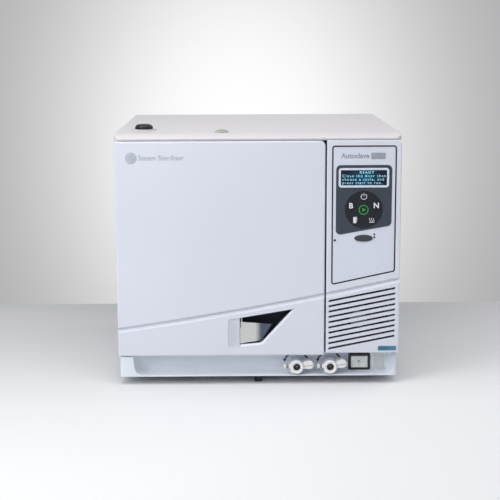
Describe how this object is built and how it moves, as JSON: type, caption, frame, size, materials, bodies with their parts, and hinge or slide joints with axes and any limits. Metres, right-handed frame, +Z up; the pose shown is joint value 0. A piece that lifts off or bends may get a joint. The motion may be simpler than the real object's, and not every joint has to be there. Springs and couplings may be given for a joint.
{
  "type": "benchtop autoclave",
  "caption": "Benchtop steam steriliser with a side-hinged door over a round chamber, a control fascia with louvres, drain valves and a water filler.",
  "frame": {"origin": "centre of the footprint on the bench, at the level the feet stand on", "axes": "+X to the right across the front, +Y from the door to the rear panel, +Z up"},
  "size_m": [0.5, 0.47, 0.458],
  "materials": {
    "cover_paint": "fine satin powder paint",
    "top_moulding": "satin light grey-white",
    "front_moulding": "satin pale lavender-white moulding",
    "surround_moulding": "matt pale grey moulding",
    "plinth_moulding": "satin pale blue-grey moulding",
    "insert_panel": "smooth pale lavender panel",
    "strip_moulding": "ribbed lavender trim",
    "zinc_sheet": "zinc-plated sheet",
    "black_rubber": "matt black",
    "foot_rubber": "matt dark rubber",
    "dark_overlay": "dark blue-grey printed film",
    "white_print": "white printed border",
    "black_print": "black printed film",
    "display_glass": "dark display glass",
    "board_green": "green solder mask",
    "dark_bung": "dark rubber",
    "black_plastic": "black moulding",
    "clear_rocker": "pale translucent rocker",
    "white_plastic": "white moulding",
    "level_lens": "olive tinted lens",
    "stainless_steel": "brushed stainless steel",
    "silicone_seal": "pale silicone",
    "insulation_felt": "wrapped felt",
    "pin_steel": "ground steel",
    "handle_metal": "satin silver",
    "tray_aluminium": "satin anodised",
    "tank_plastic": "translucent white tank",
    "cast_aluminium": "cast grey",
    "fan_plastic": "black fan moulding",
    "filter_plastic": "white filter housing",
    "pipe_plastic": "white fluoropolymer tube",
    "screw_steel": "dark steel screws"
  },
  "bodies": {
    "cabinet": {"base_tray": "zinc_sheet", "front_plinth": "plinth_moulding", "left_side_cover": "cover_paint", "right_side_cover": "cover_paint", "top_cover": "top_moulding", "rear_panel": "cover_paint", "front_bulkhead": "zinc_sheet", "door_surround": "surround_moulding", "control_fascia": "front_moulding", "fascia_insert": "insert_panel", "insert_gasket": "black_rubber", "panel_overlay": "dark_overlay", "display_frame": "white_print", "display_window": "display_glass", "key_disc": "black_print", "circuit_boards": "board_green", "switch_bezel": "black_plastic", "drain_valves": "white_plastic", "filler_neck": "white_plastic", "spirit_level": "level_lens", "feet": "foot_rubber", "chamber_vessel": "stainless_steel", "insulation_jacket": "insulation_felt", "hinge_brackets": "zinc_sheet", "hinge_pins": "pin_steel", "lock_actuator": "zinc_sheet", "tray_rack": "stainless_steel", "instrument_trays": "tray_aluminium", "clean_tank": "tank_plastic", "used_tank": "tank_plastic", "vacuum_pump": "cast_aluminium", "steam_generator": "cast_aluminium", "condenser": "cast_aluminium", "fan_frame": "black_plastic", "air_filter": "filter_plastic", "mains_inlet": "black_plastic", "pipework": "pipe_plastic", "fasteners": "screw_steel"},
    "door": {"door_shell": "front_moulding", "door_inner_panel": "surround_moulding", "pressure_plate": "stainless_steel", "door_seal": "silicone_seal", "hinge_leaves": "zinc_sheet", "handle_pin": "pin_steel", "handle_cover": "strip_moulding"},
    "handle": {"handle_lever": "handle_metal"},
    "latch": {"latch_slider": "pin_steel"},
    "lock_bolt": {"lock_bolt": "pin_steel"},
    "standby_key": {"key_standby": "black_print"},
    "program_b_key": {"key_program_b": "black_print"},
    "program_n_key": {"key_program_n": "black_print"},
    "start_key": {"key_start": "black_print"},
    "door_key": {"key_door": "black_print"},
    "dry_key": {"key_dry": "black_print"},
    "mains_rocker": {"switch_rocker": "clear_rocker"},
    "clean_lever": {"clean_drain_lever": "white_plastic"},
    "used_lever": {"used_drain_lever": "white_plastic"},
    "cap": {"filler_cap": "black_plastic"},
    "port_cover": {"data_port_cover": "dark_bung"},
    "rotor": {"fan_rotor": "fan_plastic"}
  },
  "joints": [
    {"name": "door_hinge", "type": "hinge", "parent": "cabinet", "child": "door", "pos_m": [-0.2445, -0.1835, 0.245], "axis": [0, 0, -1], "range_deg": [0, 100]},
    {"name": "handle_pivot", "type": "hinge", "parent": "door", "child": "handle", "pos_m": [-0.03, -0.2298, 0.095], "axis": [0, 0, -1], "range_deg": [0, 25], "stiffness_Nm_per_rad": 0.6},
    {"name": "latch_slide", "type": "slide", "parent": "door", "child": "latch", "axis": [-1, 0, 0], "range_m": [0, 0.0061]},
    {"name": "lock_bolt_slide", "type": "slide", "parent": "cabinet", "child": "lock_bolt", "axis": [-1, 0, 0], "range_m": [0, 0.012]},
    {"name": "standby_key_press", "type": "slide", "parent": "cabinet", "child": "standby_key", "axis": [0, 1, 0], "range_m": [0, 0.0006], "stiffness_N_per_m": 900},
    {"name": "program_b_key_press", "type": "slide", "parent": "cabinet", "child": "program_b_key", "axis": [0, 1, 0], "range_m": [0, 0.0006], "stiffness_N_per_m": 900},
    {"name": "program_n_key_press", "type": "slide", "parent": "cabinet", "child": "program_n_key", "axis": [0, 1, 0], "range_m": [0, 0.0006], "stiffness_N_per_m": 900},
    {"name": "start_key_press", "type": "slide", "parent": "cabinet", "child": "start_key", "axis": [0, 1, 0], "range_m": [0, 0.0006], "stiffness_N_per_m": 900},
    {"name": "door_key_press", "type": "slide", "parent": "cabinet", "child": "door_key", "axis": [0, 1, 0], "range_m": [0, 0.0006], "stiffness_N_per_m": 900},
    {"name": "dry_key_press", "type": "slide", "parent": "cabinet", "child": "dry_key", "axis": [0, 1, 0], "range_m": [0, 0.0006], "stiffness_N_per_m": 900},
    {"name": "mains_rocker_tilt", "type": "hinge", "parent": "cabinet", "child": "mains_rocker", "pos_m": [0.1823, -0.208, 0.0356], "axis": [1, 0, 0], "range_deg": [0, 14]},
    {"name": "clean_lever_turn", "type": "hinge", "parent": "cabinet", "child": "clean_lever", "pos_m": [0.0687, -0.217, 0.031], "axis": [0, -1, 0], "range_deg": [0, 20]},
    {"name": "used_lever_turn", "type": "hinge", "parent": "cabinet", "child": "used_lever", "pos_m": [0.1287, -0.217, 0.031], "axis": [0, -1, 0], "range_deg": [0, 20]},
    {"name": "cap_lift", "type": "slide", "parent": "cabinet", "child": "cap", "axis": [0, 0, 1], "range_m": [0, 0.04]},
    {"name": "port_cover_pull", "type": "slide", "parent": "cabinet", "child": "port_cover", "axis": [0, -1, 0], "range_m": [0, 0.015]},
    {"name": "fan_spin", "type": "hinge", "parent": "cabinet", "child": "rotor", "pos_m": [0.178, -0.215, 0.118], "axis": [0, 1, 0], "continuous": true}
  ],
  "couplings": [
    {"joint": "latch_slide", "follows": "handle_pivot", "m_per_rad": 0.01375}
  ]
}
